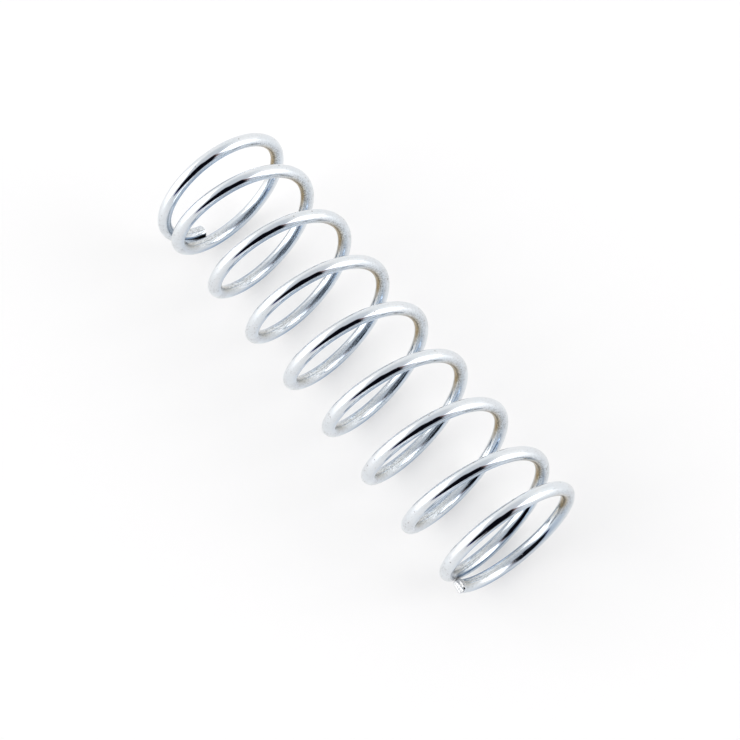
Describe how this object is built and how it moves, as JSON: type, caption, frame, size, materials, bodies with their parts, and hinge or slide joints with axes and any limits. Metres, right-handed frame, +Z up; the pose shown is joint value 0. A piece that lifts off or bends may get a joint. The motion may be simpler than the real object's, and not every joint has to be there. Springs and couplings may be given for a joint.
{
  "type": "compression spring",
  "caption": "Small cylindrical compression spring of round zinc-plated steel wire, wound left-handed, with closed unground ends; it pushes two seats apart over a rod or in a pocket.",
  "frame": {"origin": "middle of the coil's length, on the surface that the coil lies on", "axes": "+X along the coil axis towards the end whose cut tip shows best; +Z up, with the coil lying on its side"},
  "size_m": [0.0358, 0.011, 0.011],
  "materials": {
    "zinc_plated_wire": "bright zinc plate on round spring wire, smooth, with faint draw lines and small pits"
  },
  "bodies": {
    "root": {"spring": "zinc_plated_wire"}
  },
  "joints": []
}
